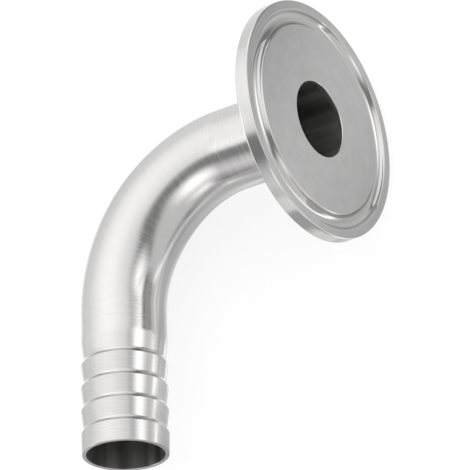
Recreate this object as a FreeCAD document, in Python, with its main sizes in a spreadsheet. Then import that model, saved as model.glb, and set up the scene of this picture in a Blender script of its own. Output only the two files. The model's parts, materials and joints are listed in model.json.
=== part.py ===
"""Barbed elbow: a clamp ferrule, a quarter bend of tube and a hose barb in one polished piece.

The piece is drawn upright in its own axes: the ferrule's axis is X, the barb's axis is Z and
points down, and the two axes cross at the origin. It is laid down on its side at the end.
"""
import FreeCAD, Part
import math
import operator
import os
import Sketcher
from FreeCAD import Placement, Rotation, Vector
from types import SimpleNamespace

NODE = "barbed_elbow"

# Every driving size in millimetres, with turns and slopes in degrees.
SIZES = [
    ("ferrule_diameter", 50.5, "outside of the clamp rim"),
    ("rim_width", 2.85, "straight rim, from the face to the start of the back bevel"),
    ("bevel_slope", 20.0, "slope of the ferrule's back, measured from its face"),
    ("seal_ring_diameter", 43.25, "middle of the gasket groove"),
    ("seal_ring_width", 3.15, "gasket groove, across its mouth"),
    ("seal_ring_depth", 1.4, "gasket groove, face to floor"),
    ("seal_ring_floor", 1.5, "gasket groove, across its flat floor"),
    ("face_reach", 50.85, "barb axis to ferrule face"),
    ("barb_reach", 60.1, "ferrule axis to barb end"),
    ("bend_radius", 28.95, "centre line of the bend"),
    ("widening_turn", 45.0, "turn of the bend over which the neck widens to the tube"),
    ("tube_diameter", 18.0, "outside of the tube and of the barb crests"),
    ("neck_diameter", 17.25, "outside of the neck behind the ferrule"),
    ("bore_diameter", 16.1, "one bore from end to end"),
    ("barb_count", 4, "number of barb grooves"),
    ("barb_pitch", 4.98, "crest to crest"),
    ("barb_back", 1.0, "length of a barb's short back slope"),
    ("barb_depth", 0.52, "crest to valley, on the radius"),
    ("end_land", 4.55, "barb end to the first crest"),
    ("crest_break", 0.12, "chamfer on the barb crests"),
    ("neck_round", 2.5, "radius between the neck and the ferrule's back"),
    ("rim_break", 0.25, "chamfer on both edges of the rim"),
    ("lip_break", 0.12, "chamfer on the gasket groove's lips and at the barb end"),
]

TOLERANCE = 1e-4
ANGLE_STEP = 1e-9
WHOLE_TURN = 360.0
UPWARD = Vector(0, 0, 1)


class Size:
    """A number together with the expression on the sheet that gives it."""

    def __init__(self, value, text):
        self.value = value
        self.text = text

    def combine(self, sign, step, other):
        if not isinstance(other, Size):
            other = Size(other, str(other))
        return Size(step(self.value, other.value), f"({self.text} {sign} {other.text})")

    def __add__(self, other):
        return self.combine("+", operator.add, other)

    def __sub__(self, other):
        return self.combine("-", operator.sub, other)

    def __mul__(self, other):
        return self.combine("*", operator.mul, other)

    def __truediv__(self, other):
        return self.combine("/", operator.truediv, other)

    def __neg__(self):
        return Size(-self.value, f"(-{self.text})")


def sine(turn):
    return Size(math.sin(math.radians(turn.value)), f"sin({turn.text})")


def cosine(turn):
    return Size(math.cos(math.radians(turn.value)), f"cos({turn.text})")


def tangent(turn):
    return Size(math.tan(math.radians(turn.value)), f"tan({turn.text})")


doc = FreeCAD.newDocument("barbed_elbow_fitting")
sheet = doc.addObject("Spreadsheet::Sheet", "sizes")
size = SimpleNamespace()
for row, (alias, value, meaning) in enumerate(SIZES, start=1):
    sheet.set(f"A{row}", alias)
    sheet.set(f"B{row}", str(value))
    sheet.set(f"C{row}", meaning)
    sheet.setAlias(f"B{row}", alias)
    setattr(size, alias, Size(value, f"sizes.{alias}"))
doc.recompute()

ZERO = Size(0.0, "0")
NO_TURN = Size(0.0, "0")

body = doc.addObject("PartDesign::Body", "elbow_body")
body.Label = NODE


def origin_feature(role):
    """One of the body's own planes or axes."""
    return next(item for item in body.Origin.OriginFeatures if item.Role == role)


def sketch_on(role, name):
    sketch = body.newObject("Sketcher::SketchObject", name)
    sketch.AttachmentSupport = (origin_feature(role), [""])
    sketch.MapMode = "FlatFace"
    return sketch


def bind(sketch, kind, places, wanted):
    """A dimension on the given places of a sketch, tied to the sheet."""
    index = sketch.addConstraint(Sketcher.Constraint(kind, *places, wanted.value))
    sketch.setExpression(f"Constraints[{index}]", wanted.text)


def pin(sketch, place, across=None, up=None):
    """A point of a sketch held at one coordinate or at both."""
    if across is not None:
        bind(sketch, "DistanceX", (-1, 1, *place), across)
    if up is not None:
        bind(sketch, "DistanceY", (-1, 1, *place), up)


def join(sketch, first, second):
    sketch.addConstraint(Sketcher.Constraint("Coincident", *first, *second))


def outline(sketch, corners):
    """A closed outline of lines through corners (across, up), rounded where a radius follows."""
    points = [Vector(across.value, up.value, 0) for across, up, *rest in corners]
    following = points[1:] + points[:1]
    lines = [sketch.addGeometry(Part.LineSegment(start, end), False)
             for start, end in zip(points, following)]
    for index, line in enumerate(lines):
        join(sketch, (lines[index - 1], 2), (line, 1))
    for index, (across, up, *radius) in enumerate(corners):
        held = lines[index]
        if radius:
            sketch.fillet(lines[index - 1], lines[index], points[index - 1], following[index],
                          radius[0].value, True, True)
            arc, held = sketch.GeometryCount - 2, sketch.GeometryCount - 1
            bind(sketch, "Radius", (arc,), radius[0])
        pin(sketch, (held, 1), across, up)


def circle_across_path(name, diameter, turn, place):
    """A circle square to the path, where it has turned so far and lies at place = (x, z)."""
    sketch = sketch_on("XY_Plane", name)
    ring = sketch.addGeometry(Part.Circle(Vector(), UPWARD, diameter.value / 2))
    join(sketch, (ring, 3), (-1, 1))
    bind(sketch, "Diameter", (ring,), diameter)
    sketch.AttachmentOffset = Placement(Vector(), Rotation(Vector(0, 1, 0), 1.0))
    sketch.setExpression("AttachmentOffset.Rotation.Angle", f"(90 - {turn.text}) * 1 deg")
    sketch.setExpression("AttachmentOffset.Base.x", f"{place[0].text} * 1 mm")
    sketch.setExpression("AttachmentOffset.Base.z", f"{place[1].text} * 1 mm")
    return sketch


def turned(kind, name, section, axis):
    """A Revolution or Groove of a section, all the way round one axis of its sketch."""
    feature = body.newObject(f"PartDesign::{kind}", name)
    feature.Profile = section
    feature.ReferenceAxis = (section, [axis])
    feature.Angle = WHOLE_TURN
    return feature


def break_edges(name, width, wanted):
    """A chamfer on every circular edge of the body that the test called wanted picks."""
    doc.recompute()
    base = body.Tip
    names = [f"Edge{number}" for number, edge in enumerate(base.Shape.Edges, start=1)
             if isinstance(edge.Curve, Part.Circle) and wanted(edge.Curve)]
    chamfer = body.newObject("PartDesign::Chamfer", name)
    chamfer.Base = (base, names)
    chamfer.setExpression("Size", width.text)


def near(value, wanted):
    return abs(value - wanted.value) < TOLERANCE


# Ferrule and neck: half a section turned round the X axis.
rim_radius = size.ferrule_diameter / 2
neck_radius = size.neck_diameter / 2
rim_back = size.face_reach - size.rim_width
bevel_end = rim_back - (rim_radius - neck_radius) * tangent(size.bevel_slope)
ferrule_section = sketch_on("XZ_Plane", "ferrule_section")
outline(ferrule_section, [
    (size.face_reach, ZERO),
    (size.face_reach, rim_radius),
    (rim_back, rim_radius),
    (bevel_end, neck_radius, size.neck_round),
    (size.bend_radius, neck_radius),
    (size.bend_radius, ZERO),
])
turned("Revolution", "ferrule", ferrule_section, "H_Axis")

# Path of the tube: neck, two arcs of the bend, tail.
path = sketch_on("XZ_Plane", "path")
bend = size.bend_radius.value
bend_centre = Vector(bend, -bend, 0)
bend_circle = Part.Circle(bend_centre, UPWARD, bend)
top = math.pi / 2
outward = math.pi
parting = top + math.radians(size.widening_turn.value)
neck_line = path.addGeometry(
    Part.LineSegment(Vector(size.face_reach.value, 0, 0), Vector(bend, 0, 0)))
upper_arc = path.addGeometry(Part.ArcOfCircle(bend_circle, top, parting))
lower_arc = path.addGeometry(Part.ArcOfCircle(bend_circle, parting, outward))
tail_line = path.addGeometry(
    Part.LineSegment(Vector(0, -bend, 0), Vector(0, -size.barb_reach.value, 0)))
parting_x = size.bend_radius - size.bend_radius * sine(size.widening_turn)
parting_z = size.bend_radius * cosine(size.widening_turn) - size.bend_radius
pin(path, (neck_line, 1), size.face_reach, ZERO)
pin(path, (neck_line, 2), size.bend_radius, ZERO)
pin(path, (upper_arc, 3), size.bend_radius, -size.bend_radius)
join(path, (neck_line, 2), (upper_arc, 1))
pin(path, (upper_arc, 2), across=parting_x)
join(path, (upper_arc, 3), (lower_arc, 3))
join(path, (upper_arc, 2), (lower_arc, 1))
pin(path, (lower_arc, 2), up=-size.bend_radius)
join(path, (lower_arc, 2), (tail_line, 1))
pin(path, (tail_line, 2), ZERO, -size.barb_reach)

# Upper bend: the neck's circle widens to the tube's along the first arc.
neck_ring = circle_across_path("neck_ring", size.neck_diameter, NO_TURN, (size.bend_radius, ZERO))
tube_ring = circle_across_path("tube_ring", size.tube_diameter, size.widening_turn,
                               (parting_x, parting_z))
upper_bend = body.newObject("PartDesign::AdditivePipe", "upper_bend")
upper_bend.Profile = neck_ring
upper_bend.Spine = (path, ["Edge2"])
upper_bend.Transformation = "Multisection"
upper_bend.Sections = [(tube_ring, [""])]

# Lower bend and tail: the tube at its full size.
tail_ring = circle_across_path("tail_ring", size.tube_diameter, size.widening_turn,
                               (parting_x, parting_z))
tail = body.newObject("PartDesign::AdditivePipe", "lower_bend_and_tail")
tail.Profile = tail_ring
tail.Spine = (path, ["Edge3", "Edge4"])

# Gasket groove: a ring with a flat floor and sloping flanks, turned into the ferrule's face.
ring_middle = size.seal_ring_diameter / 2
ring_inside = ring_middle - size.seal_ring_width / 2
ring_outside = ring_middle + size.seal_ring_width / 2
ring_floor = size.face_reach - size.seal_ring_depth
seal_section = sketch_on("XZ_Plane", "seal_ring_section")
outline(seal_section, [
    (size.face_reach, ring_inside),
    (size.face_reach, ring_outside),
    (ring_floor, ring_middle + size.seal_ring_floor / 2),
    (ring_floor, ring_middle - size.seal_ring_floor / 2),
])
turned("Groove", "seal_ring", seal_section, "H_Axis")

# Barbs: one groove with a short back slope and a long lead, repeated up the tail.
crest = size.tube_diameter / 2
first_crest = size.end_land - size.barb_reach
top_crest = first_crest + size.barb_pitch * size.barb_count
barb_section = sketch_on("XZ_Plane", "barb_section")
outline(barb_section, [
    (crest, first_crest),
    (crest + size.barb_depth, first_crest),
    (crest + size.barb_depth, first_crest + size.barb_pitch),
    (crest, first_crest + size.barb_pitch),
    (crest - size.barb_depth, first_crest + size.barb_back),
])
barb = turned("Groove", "barb", barb_section, "V_Axis")
doc.recompute()
barbs = body.newObject("PartDesign::LinearPattern", "barbs")
barbs.Originals = [barb]
barbs.Direction = (barb_section, ["V_Axis"])
barbs.setExpression("Occurrences", size.barb_count.text)
barbs.setExpression("Length", (size.barb_pitch * size.barb_count - size.barb_pitch).text)
body.Tip = barbs

# Bore: one round passage from the ferrule's face to the barb end.
bore_ring = circle_across_path("bore_ring", size.bore_diameter, NO_TURN, (size.face_reach, ZERO))
bore = body.newObject("PartDesign::SubtractivePipe", "bore")
bore.Profile = bore_ring
bore.Spine = (path, ["Edge1", "Edge2", "Edge3", "Edge4"])

# Edges broken last: the barb crests, both edges of the rim, the groove's lips, the barb end.
break_edges("crest_breaks", size.crest_break, lambda ring: near(ring.Radius, crest)
            and -size.barb_reach.value + TOLERANCE < ring.Center.z < top_crest.value - TOLERANCE)
break_edges("rim_breaks", size.rim_break, lambda ring: near(ring.Radius, rim_radius))
break_edges("lip_breaks", size.lip_break, lambda ring: near(ring.Radius, ring_inside)
            or near(ring.Radius, ring_outside)
            or near(ring.Radius, crest) and near(ring.Center.z, -size.barb_reach))
doc.recompute()


def resting_direction(weight):
    """The piece's own direction that points straight down once it lies on its side.

    The back edge of the rim and the outside of the bend touch the floor together. Of all the
    attitudes that allow this, the piece takes the one that has its weight lowest.
    """
    edge_x = (rim_back + size.rim_break).value

    def downward(lean, swing):
        flat = math.sin(lean)
        return Vector(-flat * math.cos(swing), math.cos(lean), flat * math.sin(swing))

    def rim_depth(way):
        return way.x * edge_x + rim_radius.value * math.hypot(way.y, way.z)

    def bend_depth(way):
        return bend * (way.x - way.z + math.hypot(way.x, way.z)) + crest.value

    def touching_both(swing):
        low, high = 0.0, math.pi / 2
        while high - low > ANGLE_STEP:
            lean = (low + high) / 2
            way = downward(lean, swing)
            if rim_depth(way) > bend_depth(way):
                low = lean
            else:
                high = lean
        return downward(low, swing)

    def weight_height(swing):
        way = touching_both(swing)
        return bend_depth(way) - way.dot(weight)

    low, high = 0.0, math.pi / 2
    while high - low > ANGLE_STEP:
        third = (high - low) / 3
        if weight_height(low + third) < weight_height(high - third):
            high -= third
        else:
            low += third
    return touching_both(low)


# At rest: on its side, the ferrule's axis above +X, the origin below the middle of the piece.
up = -resting_direction(body.Shape.Solids[0].CenterOfMass)
ferrule_axis = Vector(1, 0, 0)
along = (ferrule_axis - up * up.dot(ferrule_axis)).normalize()
attitude = Rotation(along, up.cross(along), up, "ZXY").inverted()
body.Placement = Placement(Vector(), attitude)
doc.recompute()
box = body.Shape.optimalBoundingBox(False, False)
body.Placement = Placement(Vector(-box.Center.x, -box.Center.y, -box.ZMin), attitude)
doc.recompute()

for item in doc.Objects:
    if "Invalid" in item.State or "Error" in item.State:
        raise RuntimeError(f"{item.Label} failed: {item.State}")
if body.Shape.isNull() or not body.Shape.isValid() or len(body.Shape.Solids) != 1:
    raise RuntimeError(f"{body.Label} is not one valid solid")

os.makedirs("parts", exist_ok=True)
body.Shape.exportStep(f"parts/{body.Label}.step")
print(f"{body.Label}: {body.Shape.Volume:.1f} cubic mm, {len(body.Shape.Faces)} faces")
print(f"rests at {body.Placement.Base} turned {body.Placement.Rotation.Q}")
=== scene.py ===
import json
import math

import bpy
import numpy as np
from mathutils import Euler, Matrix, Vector


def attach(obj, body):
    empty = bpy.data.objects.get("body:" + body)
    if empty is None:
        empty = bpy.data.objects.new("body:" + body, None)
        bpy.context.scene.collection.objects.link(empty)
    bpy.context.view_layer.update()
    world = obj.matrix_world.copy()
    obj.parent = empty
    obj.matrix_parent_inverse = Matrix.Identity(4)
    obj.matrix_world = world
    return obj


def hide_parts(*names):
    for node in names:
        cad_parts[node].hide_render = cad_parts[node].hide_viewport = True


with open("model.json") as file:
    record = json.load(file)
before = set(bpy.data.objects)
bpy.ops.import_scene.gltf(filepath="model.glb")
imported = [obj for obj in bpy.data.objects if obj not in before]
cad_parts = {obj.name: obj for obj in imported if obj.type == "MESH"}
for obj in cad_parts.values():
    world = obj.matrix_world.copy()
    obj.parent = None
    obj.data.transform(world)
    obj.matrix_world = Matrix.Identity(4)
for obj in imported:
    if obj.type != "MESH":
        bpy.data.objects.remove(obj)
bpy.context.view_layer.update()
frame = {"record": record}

MM = 0.001

# ---------------------------------------------------------------- sizes, in millimetres

RIM_WIDTH = 2.85
BEVEL_SLOPE = math.radians(20)
NECK_RADIUS = 8.625
NECK_FILLET = 2.5
RIM_ROUND = 0.3
MOUTH_ROUND = 0.24
END_ROUND = 0.12

GROOVE_INSIDE = 20.05
GROOVE_OUTSIDE = 23.2
GROOVE_DEPTH = 1.4
GROOVE_FLANK = 0.5
GROOVE_CORNER = 1.35
GROOVE_EDGE = 0.35

FIRST_CREST = 4.42
BARB_PITCH = 4.98
BARB_COUNT = 4
BARB_BACK = 0.9
BARB_DEPTH = 0.58
CREST_ROUND = 0.1
VALLEY_ROUND = 1.0
LEAD_ROUND = 9.0
END_RADIUS = 8.87

# Straight stretches that the ferrule's and the barb end's profiles take along.
MOUTH_STRETCH = 0.6
NECK_STRETCH = 3.0
TAIL_STRETCH = 2.0

# Where the evenly spaced rings of the bend and of the bore start and stop, past those stretches.
BEND_AFTER_BEVEL = 3.4
BEND_INTO_TAIL = 3.0
BORE_INSET = 1.2
BEND_RINGS = 150
BORE_RINGS = 130

# Points on an arc, the hold beside it, and places around the elbow.
ARC_STEPS = 6
SUPPORT = 0.06
AROUND = 208

# The finishes in the order of the elbow's material slots, the slopes that tell a barb's lead and
# its back, and how far the cuts reach past their own edges.
CUTS = ("turned", "fine", "tube", "lead", "back", "bore")
LEAD_SLOPE = -0.05
BACK_SLOPE = 0.45
CUT_MARGIN = 0.5
RIM_BAND = 0.7
RIM_MARGIN = 0.4
HAIR = 0.01


def mount(name):
    """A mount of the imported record: its middle in millimetres, its axis and its sizes."""
    entry = next(item for item in frame["record"]["mounts"] if item["name"] == name)
    return np.array(entry["pos_m"]) / MM, np.array(entry["axis"]), entry["dims"]


# The two bores' axes cross where the elbow's own axes have their origin.
ferrule_middle, ferrule_axis, ferrule_bore = mount("ferrule_bore")
barb_middle, barb_axis, barb_bore = mount("barb_bore")
crossing = ferrule_middle + ferrule_axis * np.dot(barb_middle - ferrule_middle, ferrule_axis)
side_axis = np.cross(-barb_axis, ferrule_axis)
bore_radius = ferrule_bore["r_mm"]
tube_radius = mount("hose_barb")[2]["r_mm"]
rim_radius = mount("ferrule_rim")[2]["r_mm"]
neck_run = ferrule_bore["length_mm"]
tail_run = barb_bore["length_mm"]
bend_radius = np.linalg.norm(ferrule_middle - crossing) - neck_run / 2
bend_run = bend_radius * math.pi / 2
whole_run = neck_run + bend_run + tail_run
bevel_end = RIM_WIDTH + (rim_radius - NECK_RADIUS) * math.tan(BEVEL_SLOPE)


def rounded(corners):
    """A line through corners (along, radius, round), each corner replaced by an arc.

    The arc touches both sides at round / tan(half the corner's angle) from the corner, and one
    more point stands just outside each end of it to hold the flat beside it flat.
    """
    points = [corners[0][:2]]
    for before, (along, radius, size), after in zip(corners, corners[1:], corners[2:]):
        corner = np.array([along, radius])
        back = np.array(before[:2]) - corner
        ahead = np.array(after[:2]) - corner
        back /= np.linalg.norm(back)
        ahead /= np.linalg.norm(ahead)
        angle = math.acos(np.clip(back @ ahead, -1, 1))
        reach = size / math.tan(angle / 2)
        middle = back + ahead
        centre = corner + middle / np.linalg.norm(middle) * size / math.sin(angle / 2)
        first = corner + back * reach - centre
        last = corner + ahead * reach - centre
        turn = math.pi - angle
        share = np.linspace(0, 1, ARC_STEPS + 1)[:, None]
        swing = np.sin((1 - share) * turn) * first + np.sin(share * turn) * last
        arc = centre + swing / math.sin(turn)
        points.append(corner + back * (reach + SUPPORT))
        points.extend(arc)
        points.append(corner + ahead * (reach + SUPPORT))
    points.append(corners[-1][:2])
    return np.array(points)


def ferrule_profile():
    """Bore mouth, face with its gasket groove, rim, back bevel and the fillet onto the neck."""
    return rounded([
        (MOUTH_STRETCH, bore_radius, 0),
        (0, bore_radius, MOUTH_ROUND),
        (0, GROOVE_INSIDE, GROOVE_EDGE),
        (GROOVE_DEPTH, GROOVE_INSIDE + GROOVE_FLANK, GROOVE_CORNER),
        (GROOVE_DEPTH, GROOVE_OUTSIDE - GROOVE_FLANK, GROOVE_CORNER),
        (0, GROOVE_OUTSIDE, GROOVE_EDGE),
        (0, rim_radius, RIM_ROUND),
        (RIM_WIDTH, rim_radius, RIM_ROUND),
        (bevel_end, NECK_RADIUS, NECK_FILLET),
        (bevel_end + NECK_STRETCH, NECK_RADIUS, 0),
    ])


def bend_profile():
    """Neck and bend: the radius grows evenly from neck to tube over the first half of the bend."""
    start = bevel_end + BEND_AFTER_BEVEL
    along = np.linspace(start, neck_run + bend_run + BEND_INTO_TAIL, BEND_RINGS)
    share = np.clip((along - neck_run) / (bend_run / 2), 0, 1)
    return np.stack([along, NECK_RADIUS + (tube_radius - NECK_RADIUS) * share], 1)


def barb_profile():
    """Tail, barbs and end land: each crest has a short back above it and a long lead below."""
    top = FIRST_CREST + BARB_PITCH * BARB_COUNT
    corners = [(whole_run - top - TAIL_STRETCH, tube_radius, 0),
               (whole_run - top, tube_radius, LEAD_ROUND)]
    for number in reversed(range(BARB_COUNT)):
        height = FIRST_CREST + BARB_PITCH * number
        corners.append((whole_run - height - BARB_BACK, tube_radius - BARB_DEPTH, VALLEY_ROUND))
        corners.append((whole_run - height, tube_radius, CREST_ROUND))
    corners += [
        (whole_run, END_RADIUS, END_ROUND),
        (whole_run, bore_radius, END_ROUND),
        (whole_run - MOUTH_STRETCH, bore_radius, 0),
    ]
    return rounded(corners)


def bore_profile():
    """The bore's wall from the barb end back to the ferrule."""
    along = np.linspace(whole_run - BORE_INSET, BORE_INSET, BORE_RINGS)
    return np.stack([along, np.full_like(along, bore_radius)], 1)


def elbow_surface(profile, around):
    """Points of a closed profile carried along the elbow's path, as rings by places around.

    At a distance along the path, the centre runs in on the ferrule's axis, round a quarter circle
    and out on the barb's axis. A point stands off it by its radius, turned by its place around
    from the outside of the bend towards the elbow's side.
    """
    along, radius = profile[:, 0], profile[:, 1]
    turn = np.clip((along - neck_run) / bend_radius, 0, math.pi / 2)
    before = np.clip(neck_run - along, 0, None)
    after = np.clip(along - neck_run - bend_run, 0, None)
    reach = before + bend_radius * (1 - np.sin(turn))
    drop = after + bend_radius * (1 - np.cos(turn))
    centre = crossing + np.outer(reach, ferrule_axis) + np.outer(drop, barb_axis)
    outward = -np.outer(np.sin(turn), ferrule_axis) - np.outer(np.cos(turn), barb_axis)
    across = np.cos(around)[None, :, None] * outward[:, None, :]
    across = across + np.sin(around)[None, :, None] * side_axis
    return centre[:, None, :] + radius[:, None, None] * across


def grid_faces(rings, places):
    """Quads of a grid that closes on itself both ways."""
    ring, place = np.meshgrid(np.arange(rings), np.arange(places), indexing="ij")
    next_ring = (ring + 1) % rings
    next_place = (place + 1) % places
    corners = [ring * places + place, ring * places + next_place,
               next_ring * places + next_place, next_ring * places + place]
    return np.stack(corners, -1).reshape(-1, 4)


def build_elbow(finishes):
    """One closed skin: ferrule, bend, barbs and bore, with the polish's own coordinates.

    A ring of faces between two profile points takes the finish of the cut that made it: a barb is
    polished where it is hollow, and rougher on its lead and its steep back, whose darker colour is
    painted shade in the groove. The coordinates are the length along the profile and the point's
    place across it.
    """
    profile = np.vstack([ferrule_profile(), bend_profile(), barb_profile(), bore_profile()])
    rings = len(profile)
    around = np.linspace(0, 2 * math.pi, AROUND, endpoint=False)
    points = elbow_surface(profile, around)
    quads = grid_faces(rings, AROUND)

    mesh = bpy.data.meshes.new("elbow_skin")
    mesh.from_pydata((points.reshape(-1, 3) * MM).tolist(), [], quads.tolist())
    mesh.update()
    mesh.shade_smooth()

    step = np.linalg.norm(np.diff(profile, axis=0), axis=1)
    length = np.concatenate([[0], np.cumsum(step)])
    lay = np.empty((rings, AROUND, 3))
    lay[:, :, 0] = length[:, None]
    lay[:, :, 1] = profile[:, 1][:, None] * np.cos(around)
    lay[:, :, 2] = profile[:, 1][:, None] * np.sin(around)
    attribute = mesh.attributes.new("polish_lay", "FLOAT_VECTOR", "POINT")
    attribute.data.foreach_set("vector", lay.astype(np.float32).ravel())

    along, radius = profile[:, 0], profile[:, 1]
    ahead, wider = np.roll(along, -1), np.roll(radius, -1)
    top = whole_run - FIRST_CREST - BARB_PITCH * (BARB_COUNT - 1) - BARB_BACK
    barbed = along > top - CUT_MARGIN
    slope = (wider - radius) / np.where(ahead > along, ahead - along, 1)
    lead = barbed & ((slope < LEAD_SLOPE) | (ahead <= along))
    last_land = along > whole_run - FIRST_CREST
    steep = barbed & (slope > BACK_SLOPE)
    grooved = radius > GROOVE_INSIDE - CUT_MARGIN
    grooved &= (along < RIM_WIDTH / 2) & (wider < GROOVE_OUTSIDE + CUT_MARGIN)
    rim = (radius > rim_radius - RIM_BAND) & (along < RIM_WIDTH + RIM_MARGIN)
    bored = (radius < bore_radius + HAIR) & (wider < bore_radius + HAIR)
    faced = (along < RIM_WIDTH + RIM_MARGIN) & (radius > bore_radius - HAIR)
    # The steep backs get the darkest colour, which is painted shade in the grooves behind the
    # crests.
    cut_here = [bored, grooved | rim, faced, lead | last_land, steep]
    slots = [CUTS.index(cut) for cut in ("bore", "fine", "turned", "lead", "back")]
    finish = np.select(cut_here, slots, CUTS.index("tube"))
    mesh.polygons.foreach_set("material_index", np.repeat(finish, AROUND).astype(np.int32))
    for cut in CUTS:
        mesh.materials.append(finishes[cut])
    piece = bpy.data.objects.new("elbow", mesh)
    bpy.context.scene.collection.objects.link(piece)
    return piece


# ---------------------------------------------------------------- finishes

def add(tree, kind, inputs=None, **settings):
    """A node of one kind with its settings, and its inputs given as values or as sockets."""
    node = tree.nodes.new(kind)
    for name, value in settings.items():
        setattr(node, name, value)
    for name, value in (inputs or {}).items():
        if isinstance(value, bpy.types.NodeSocket):
            tree.links.new(value, node.inputs[name])
        else:
            node.inputs[name].default_value = value
    return node


def sockets(group, way, kind, names):
    """Sockets of one kind on one side of a node group."""
    for name in names:
        group.interface.new_socket(name, in_out=way, socket_type=kind)


# Noise turns to the millimetre along the piece and across it for the streaks, which paint the
# bore's reflection bands, turns to the millimetre for the haze, and the part of the noise's range
# that the finishes spread out.
STREAK_TURNS = (0.02, 0.3, 0.3)
HAZE_TURNS = 0.25
NOISE_RANGE = {"From Min": 0.3, "From Max": 0.7}


def polish_marks_group():
    """Marks of the polish: rings that run round the piece, streaks along it that paint reflection
    bands, and a haze.
    """
    group = bpy.data.node_groups.new("polish_marks", "ShaderNodeTree")
    sockets(group, "INPUT", "NodeSocketVector", ["Lay"])
    sockets(group, "INPUT", "NodeSocketFloat", ["Fineness", "Length"])
    sockets(group, "OUTPUT", "NodeSocketFloat", ["Marks", "Streaks", "Haze"])
    entry = add(group, "NodeGroupInput").outputs
    leave = add(group, "NodeGroupOutput")
    lay = entry["Lay"]
    squeeze = add(group, "ShaderNodeCombineXYZ",
                  {"X": entry["Fineness"], "Y": entry["Length"], "Z": entry["Length"]})
    placed = add(group, "ShaderNodeVectorMath", {0: lay, 1: squeeze.outputs[0]},
                 operation="MULTIPLY")
    rings = add(group, "ShaderNodeTexNoise",
                {"Vector": placed.outputs[0], "Scale": 1.0, "Detail": 3.0, "Roughness": 0.6})
    drawn = add(group, "ShaderNodeVectorMath", {0: lay, 1: STREAK_TURNS}, operation="MULTIPLY")
    streaks = add(group, "ShaderNodeTexNoise",
                  {"Vector": drawn.outputs[0], "Scale": 1.0, "Detail": 2.0})
    haze = add(group, "ShaderNodeTexNoise",
               {"Vector": lay, "Scale": HAZE_TURNS, "Detail": 4.0, "Roughness": 0.6})
    for name, noise in (("Marks", rings), ("Streaks", streaks), ("Haze", haze)):
        group.links.new(noise.outputs["Fac"], leave.inputs[name])
    return group


def steel(name, shades, tint_by, roughness, spread, fineness, length, depth):
    """Stainless steel whose colour, roughness and surface carry the marks of its own polish."""
    material = bpy.data.materials.new(name)
    material.use_nodes = True
    tree = material.node_tree
    shader = tree.nodes["Principled BSDF"]
    shader.inputs["Metallic"].default_value = 1.0
    lay = add(tree, "ShaderNodeAttribute", attribute_name="polish_lay")
    marks = add(tree, "ShaderNodeGroup", node_tree=polish_marks)
    marks.inputs["Fineness"].default_value = fineness
    marks.inputs["Length"].default_value = length
    tree.links.new(lay.outputs["Vector"], marks.inputs["Lay"])
    share = add(tree, "ShaderNodeMapRange", {"Value": marks.outputs[tint_by], **NOISE_RANGE})
    dark, light = ((*STEEL_TINT * shade, 1) for shade in shades)
    tint = add(tree, "ShaderNodeMix", {"Factor": share.outputs["Result"], "A": dark, "B": light},
               data_type="RGBA")
    rough = add(tree, "ShaderNodeMapRange",
                {"Value": marks.outputs["Marks"], **NOISE_RANGE,
                 "To Min": roughness - spread, "To Max": roughness + spread})
    bump = add(tree, "ShaderNodeBump",
               {"Height": marks.outputs["Marks"], "Strength": 1.0, "Distance": depth})
    tree.links.new(tint.outputs["Result"], shader.inputs["Base Color"])
    tree.links.new(rough.outputs["Result"], shader.inputs["Roughness"])
    tree.links.new(bump.outputs["Normal"], shader.inputs["Normal"])
    return material


# Each finish: dark and light shade, what shades it, roughness and its spread, turns of the ring
# marks to the millimetre along the piece and around it, and their depth in metres.
STEEL_TINT = np.array([1.0, 0.988, 0.985])
polish_marks = polish_marks_group()
finishes = {
    "turned": steel("turned_face", (0.555, 0.605), "Haze", 0.21, 0.04, 4.0, 0.1, 3e-6),
    "fine": steel("fine_turned", (0.56, 0.61), "Marks", 0.09, 0.03, 4.0, 0.1, 3e-6),
    "tube": steel("polished_tube", (0.575, 0.61), "Marks", 0.175, 0.06, 3.2, 0.2, 15e-6),
    "lead": steel("turned_barb", (0.515, 0.565), "Marks", 0.165, 0.05, 4.0, 0.3, 5e-6),
    # The steep barb backs are coloured darker: painted shade in the grooves behind the crests.
    "back": steel("cut_barb_back", (0.38, 0.46), "Marks", 0.22, 0.06, 4.0, 0.1, 3e-6),
    # The bore's wide light and dark streaks are painted reflection bands laid along it over its
    # drawn marks.
    "bore": steel("drawn_bore", (0.28, 0.92), "Streaks", 0.36, 0.05, 3.0, 0.1, 6e-6),
}

elbow = build_elbow(finishes)
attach(elbow, "root")
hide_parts("barbed_elbow")


# ---------------------------------------------------------------- light tent, floor and camera

def towards(azimuth, elevation):
    """Unit direction with azimuth from +X towards +Y, both in degrees."""
    azimuth, elevation = math.radians(azimuth), math.radians(elevation)
    flat = math.cos(elevation)
    return Vector((flat * math.cos(azimuth), flat * math.sin(azimuth), math.sin(elevation)))


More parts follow.
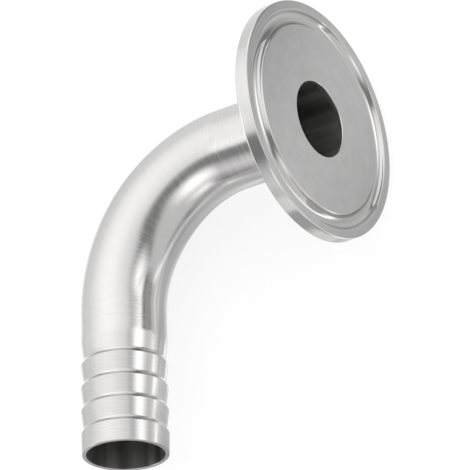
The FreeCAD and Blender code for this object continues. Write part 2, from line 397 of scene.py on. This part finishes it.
def tent_window_group():
    """Mask of an oval window: one inside, falling smoothly to nought at its edge."""
    group = bpy.data.node_groups.new("tent_window", "ShaderNodeTree")
    sockets(group, "INPUT", "NodeSocketVector", ["Direction", "Middle", "Across", "Up"])
    sockets(group, "INPUT", "NodeSocketFloat", ["Width", "Height", "Edge"])
    sockets(group, "OUTPUT", "NodeSocketFloat", ["Mask"])
    entry = add(group, "NodeGroupInput").outputs
    leave = add(group, "NodeGroupOutput")

    def along(axis):
        part = add(group, "ShaderNodeVectorMath", {0: entry["Direction"], 1: entry[axis]},
                   operation="DOT_PRODUCT")
        return part.outputs["Value"]

    def angle(axis, size):
        """Angle off the window's middle along one axis, as a share of the window's half size."""
        turned = add(group, "ShaderNodeMath", {0: along(axis), 1: along("Middle")},
                     operation="ARCTAN2")
        share = add(group, "ShaderNodeMath", {0: turned.outputs[0], 1: entry[size]},
                    operation="DIVIDE")
        return share.outputs[0]

    pair = add(group, "ShaderNodeCombineXYZ",
               {"X": angle("Across", "Width"), "Y": angle("Up", "Height")})
    off = add(group, "ShaderNodeVectorMath", {0: pair.outputs[0]}, operation="LENGTH")
    soft_from = add(group, "ShaderNodeMath", {0: 1.0, 1: entry["Edge"]}, operation="ADD")
    soft_to = add(group, "ShaderNodeMath", {0: 1.0, 1: entry["Edge"]}, operation="SUBTRACT")
    mask = add(group, "ShaderNodeMapRange",
               {"Value": off.outputs["Value"], "From Min": soft_from.outputs[0],
                "From Max": soft_to.outputs[0]}, interpolation_type="SMOOTHSTEP")
    group.links.new(mask.outputs["Result"], leave.inputs["Mask"])
    return group


# Each window: middle (azimuth, elevation), half width, half height, tilt in degrees, edge, level.
TENT_LEVEL = 1.05
WINDOWS = [
    ("low_back", (19, 33), 18, 130, 42, 0.9, 0.32),
    ("tent_opening", (-79, 29), 91, 53, -23, 0.15, 0.30),
    ("front_card", (-75, -12), 82, 72, 17, 0.15, 0.84),
    ("left_window", (-114, 30), 19, 13, 19, 0.9, 2.0),
    ("left_glow", (-104, 2), 7, 17, -60, 0.9, 1.7),
    ("right_window", (15, 33), 23, 13, -48, 0.9, 2.1),
    ("back_lamp", (122, 42), 36, 34, 45, 0.95, 1.58),
    ("left_rear", (-159, -5), 11.5, 50, 46, 0.1, 3.0),
    ("rear_lamp", (178, 29), 9, 5.5, -10, 0.15, 1.9),
    ("far_glow", (96, -4), 28, 14, 28, 0.2, 2.0),
]


def light_tent(world):
    """White for the camera; for everything else an even tent with windows laid over it in turn."""
    world.use_nodes = True
    tree = world.node_tree
    tree.nodes.clear()
    direction = add(tree, "ShaderNodeTexCoord").outputs["Generated"]
    level = add(tree, "ShaderNodeValue")
    level.outputs[0].default_value = TENT_LEVEL
    light = level.outputs[0]
    for name, (azimuth, elevation), width, height, tilt, edge, brightness in WINDOWS:
        middle = towards(azimuth, elevation)
        level_way = Vector((-math.sin(math.radians(azimuth)), math.cos(math.radians(azimuth)), 0))
        upright = middle.cross(level_way)
        lean = math.radians(tilt)
        across = level_way * math.cos(lean) + upright * math.sin(lean)
        window = add(tree, "ShaderNodeGroup", node_tree=tent_window, name=name)
        for socket, value in (("Middle", middle), ("Across", across), ("Up", middle.cross(across)),
                              ("Width", math.radians(width)), ("Height", math.radians(height)),
                              ("Edge", edge)):
            window.inputs[socket].default_value = value
        tree.links.new(direction, window.inputs["Direction"])
        laid = add(tree, "ShaderNodeMix",
                   {"Factor": window.outputs["Mask"], "A": light, "B": brightness})
        light = laid.outputs["Result"]
    path = add(tree, "ShaderNodeLightPath").outputs
    straight = add(tree, "ShaderNodeMath",
                   {0: path["Is Camera Ray"], 1: path["Is Transmission Ray"]}, operation="MAXIMUM")
    seen = add(tree, "ShaderNodeMix", {"Factor": straight.outputs[0], "A": light, "B": 1.0})
    background = add(tree, "ShaderNodeBackground",
                     {"Color": (1, 1, 1, 1), "Strength": seen.outputs["Result"]})
    leave = add(tree, "ShaderNodeOutputWorld")
    tree.links.new(background.outputs[0], leave.inputs["Surface"])


# The sheet's glow as only the metal sees it, and each patch of painted glow or shade laid over it,
# which the metal shows as painted reflections: middle (x, y), half length, half width, all in
# metres, tilt in degrees, edge, level.
SHEET_LEVEL = 1.05
PATCHES = [
    ("front_shade", (0.147, -0.251), 0.322, 0.124, -57, 0.16, 0.54),
    ("back_shade", (0.224, 0.300), 0.119, 0.297, -32, 0.24, 0.29),
    ("crook_glow", (0.175, -0.0175), 0.141, 0.013, 3.6, 0.9, 1.75),
    ("under_crook", (0.020, -0.0075), 0.016, 0.017, 37, 0.64, 1.86),
    ("bend_shade", (0.010, -0.0155), 0.0145, 0.0065, -48, 0.7, 0.55),
    ("front_crook", (0.024, -0.062), 0.0185, 0.0045, -46, 0.15, 0.06),
    ("barb_glow", (0.018, -0.0045), 0.007, 0.024, 34, 0.5, 0.71),
    ("heel_glow", (-0.031, -0.009), 0.017, 0.0205, -9, 0.8, 1.52),
    ("barb_gleam", (0.143, -0.0175), 0.092, 0.006, 3, 0.65, 2.3),
    ("barb_side", (0.018, -0.0215), 0.0045, 0.0085, 0, 0.35, 0.93),
    ("barb_edge", (-0.0112, -0.0218), 0.006, 0.0021, 72, 0.3, 1.5),
]


# The sheet's own shade for the light it throws back and for the camera, the glow that lifts it to
# white for the camera, and half its side in metres.
SHEET_SHADE = (0.62, 0.62, 0.62, 1)
SHEET_SHADE_SEEN = (0.22, 0.22, 0.22, 1)
SHEET_GLOW_SEEN = 0.82
SHEET_HALF = 1.5


def floor_finish():
    """Pale sheet: it keeps the shadow, shows white to the camera and painted glow and shade in
    metal.
    """
    material = bpy.data.materials.new("pale_floor")
    material.use_nodes = True
    tree = material.node_tree
    tree.nodes.clear()
    place = add(tree, "ShaderNodeTexCoord").outputs["Object"]
    level = add(tree, "ShaderNodeValue")
    level.outputs[0].default_value = SHEET_LEVEL
    light = level.outputs[0]
    for name, (x, y), length, width, tilt, edge, brightness in PATCHES:
        placed = add(tree, "ShaderNodeMapping",
                     {"Vector": place, "Location": (x, y, 0),
                      "Rotation": (0, 0, math.radians(tilt)), "Scale": (length, width, 1)},
                     vector_type="TEXTURE")
        off = add(tree, "ShaderNodeVectorMath", {0: placed.outputs[0]}, operation="LENGTH")
        mask = add(tree, "ShaderNodeMapRange",
                   {"Value": off.outputs["Value"], "From Min": 1 + edge, "From Max": 1 - edge},
                   interpolation_type="SMOOTHSTEP")
        laid = add(tree, "ShaderNodeMix",
                   {"Factor": mask.outputs["Result"], "A": light, "B": brightness}, name=name)
        light = laid.outputs["Result"]
    path = add(tree, "ShaderNodeLightPath").outputs
    seen = add(tree, "ShaderNodeMath",
               {0: path["Is Camera Ray"], 1: path["Is Transmission Ray"]}, operation="MAXIMUM")
    lift = add(tree, "ShaderNodeMath", {0: seen.outputs[0], 1: SHEET_GLOW_SEEN},
               operation="MULTIPLY")
    # Glossy rays see only the painted glow and its patches, as painted reflections, without the
    # sheet's shadow.
    gloss = add(tree, "ShaderNodeMath",
                {0: path["Is Glossy Ray"], 1: light, 2: lift.outputs[0]}, operation="MULTIPLY_ADD")
    paper = add(tree, "ShaderNodeMix",
                {"Factor": seen.outputs[0], "A": SHEET_SHADE, "B": SHEET_SHADE_SEEN},
                data_type="RGBA")
    dull = add(tree, "ShaderNodeMix",
               {"Factor": path["Is Glossy Ray"], "A": paper.outputs["Result"], "B": (0, 0, 0, 1)},
               data_type="RGBA")
    matt = add(tree, "ShaderNodeBsdfDiffuse", {"Color": dull.outputs["Result"]})
    glow = add(tree, "ShaderNodeEmission", {"Color": (1, 1, 1, 1), "Strength": gloss.outputs[0]})
    both = add(tree, "ShaderNodeAddShader", {0: matt.outputs[0], 1: glow.outputs[0]})
    leave = add(tree, "ShaderNodeOutputMaterial")
    tree.links.new(both.outputs[0], leave.inputs["Surface"])
    return material


def floor():
    """A flat square sheet under the piece."""
    half = SHEET_HALF
    corners = [(-half, -half, 0), (half, -half, 0), (half, half, 0), (-half, half, 0)]
    mesh = bpy.data.meshes.new("floor_sheet")
    mesh.from_pydata(corners, [], [(0, 1, 2, 3)])
    mesh.materials.append(floor_finish())
    sheet = bpy.data.objects.new("floor", mesh)
    bpy.context.scene.collection.objects.link(sheet)


tent_window = tent_window_group()
scene = bpy.context.scene
scene.world = bpy.data.worlds.new("light_tent")
light_tent(scene.world)
floor()

# The camera's place in metres, its turn in degrees, its lens and sensor in millimetres, and how
# far it sees in metres.
CAMERA_PLACE = (0.125562, -0.172946, 0.728956)
CAMERA_TURN = (11.58267, 11.88842, -9.78465)
CAMERA_LENS = 278.742
SENSOR_WIDTH = 36
VIEW_DEPTH = 10

lens = bpy.data.cameras.new("photo_camera")
lens.lens = CAMERA_LENS
lens.sensor_width = SENSOR_WIDTH
lens.clip_end = VIEW_DEPTH
camera = bpy.data.objects.new("photo_camera", lens)
camera.location = CAMERA_PLACE
camera.rotation_euler = Euler([math.radians(turn) for turn in CAMERA_TURN], "XYZ")
scene.collection.objects.link(camera)
scene.camera = camera
scene.view_settings.view_transform = "Standard"
